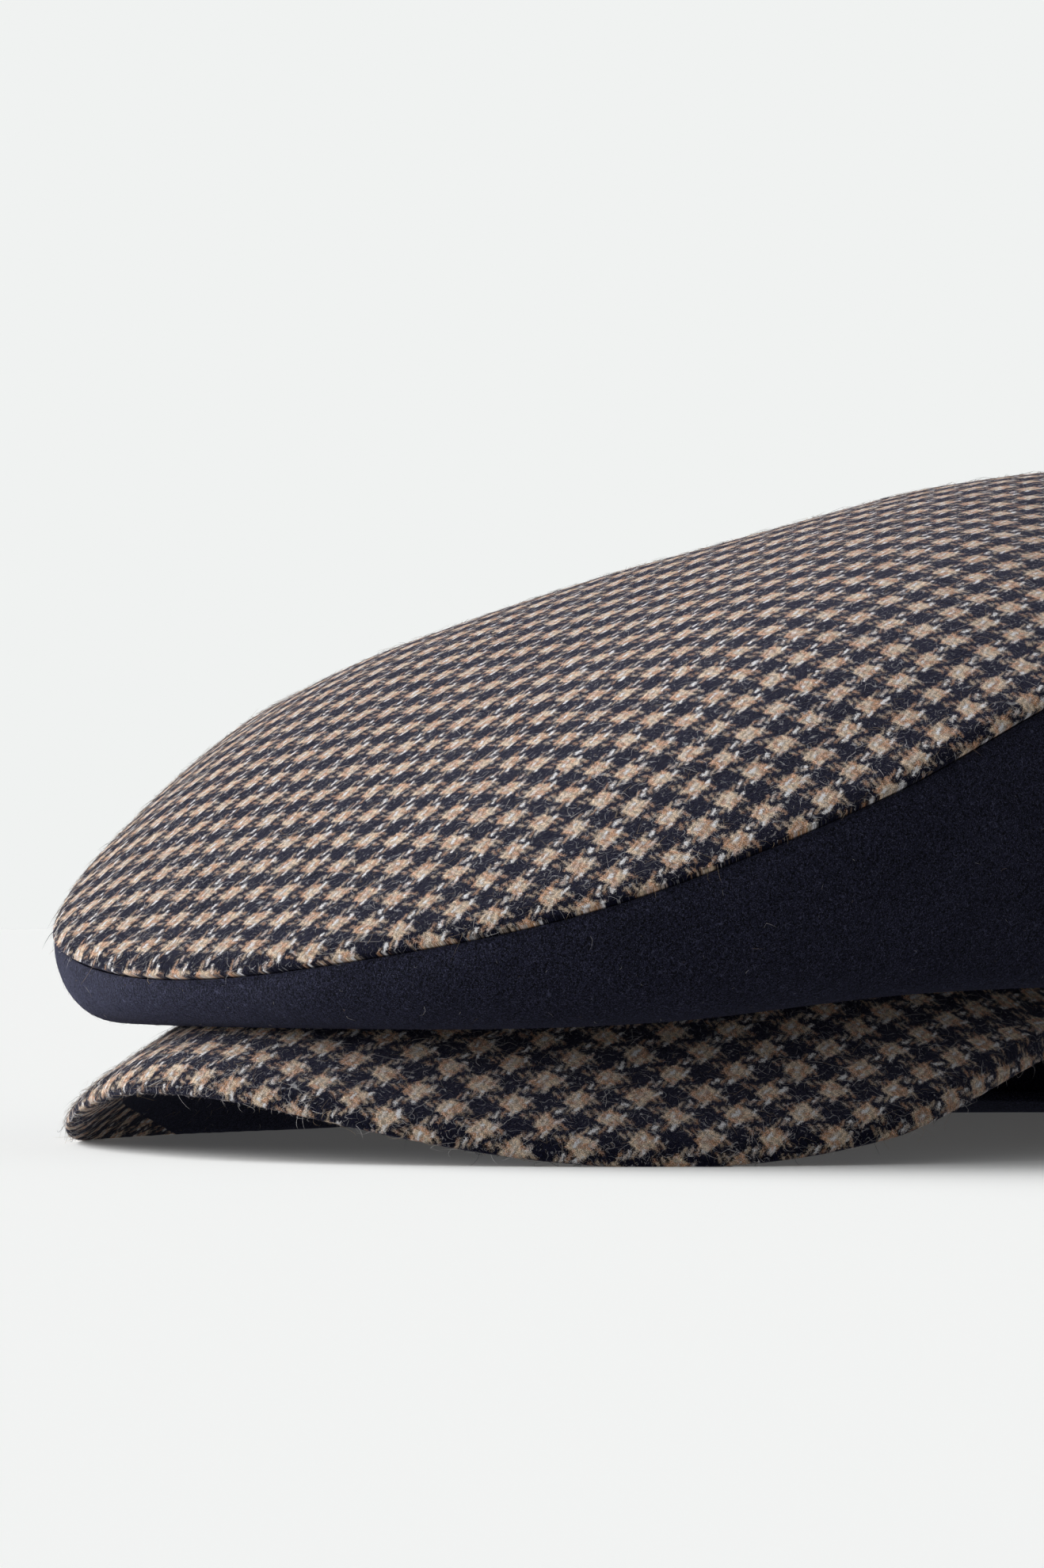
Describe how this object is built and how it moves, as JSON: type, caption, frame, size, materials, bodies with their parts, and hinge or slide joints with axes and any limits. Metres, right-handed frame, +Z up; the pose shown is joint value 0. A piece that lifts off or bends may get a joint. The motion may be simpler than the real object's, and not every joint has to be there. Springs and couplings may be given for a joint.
{
  "type": "flat cap",
  "caption": "Soft wool flat cap: a domed houndstooth crown panel over a plain navy side band, with an arched houndstooth peak under its front.",
  "frame": {"origin": "on the surface that the cap rests on, under the middle of its bounding box", "axes": "+Z up, the cap's front faces -Y, the wearer's left is +X"},
  "size_m": [0.1982, 0.2758, 0.1098],
  "materials": {
    "houndstooth_wool": "napped twill in navy, tan and off-white",
    "navy_wool": "napped flannel"
  },
  "bodies": {
    "root": {"crown_top": "houndstooth_wool", "side_band": "navy_wool", "peak": "houndstooth_wool"}
  },
  "joints": []
}
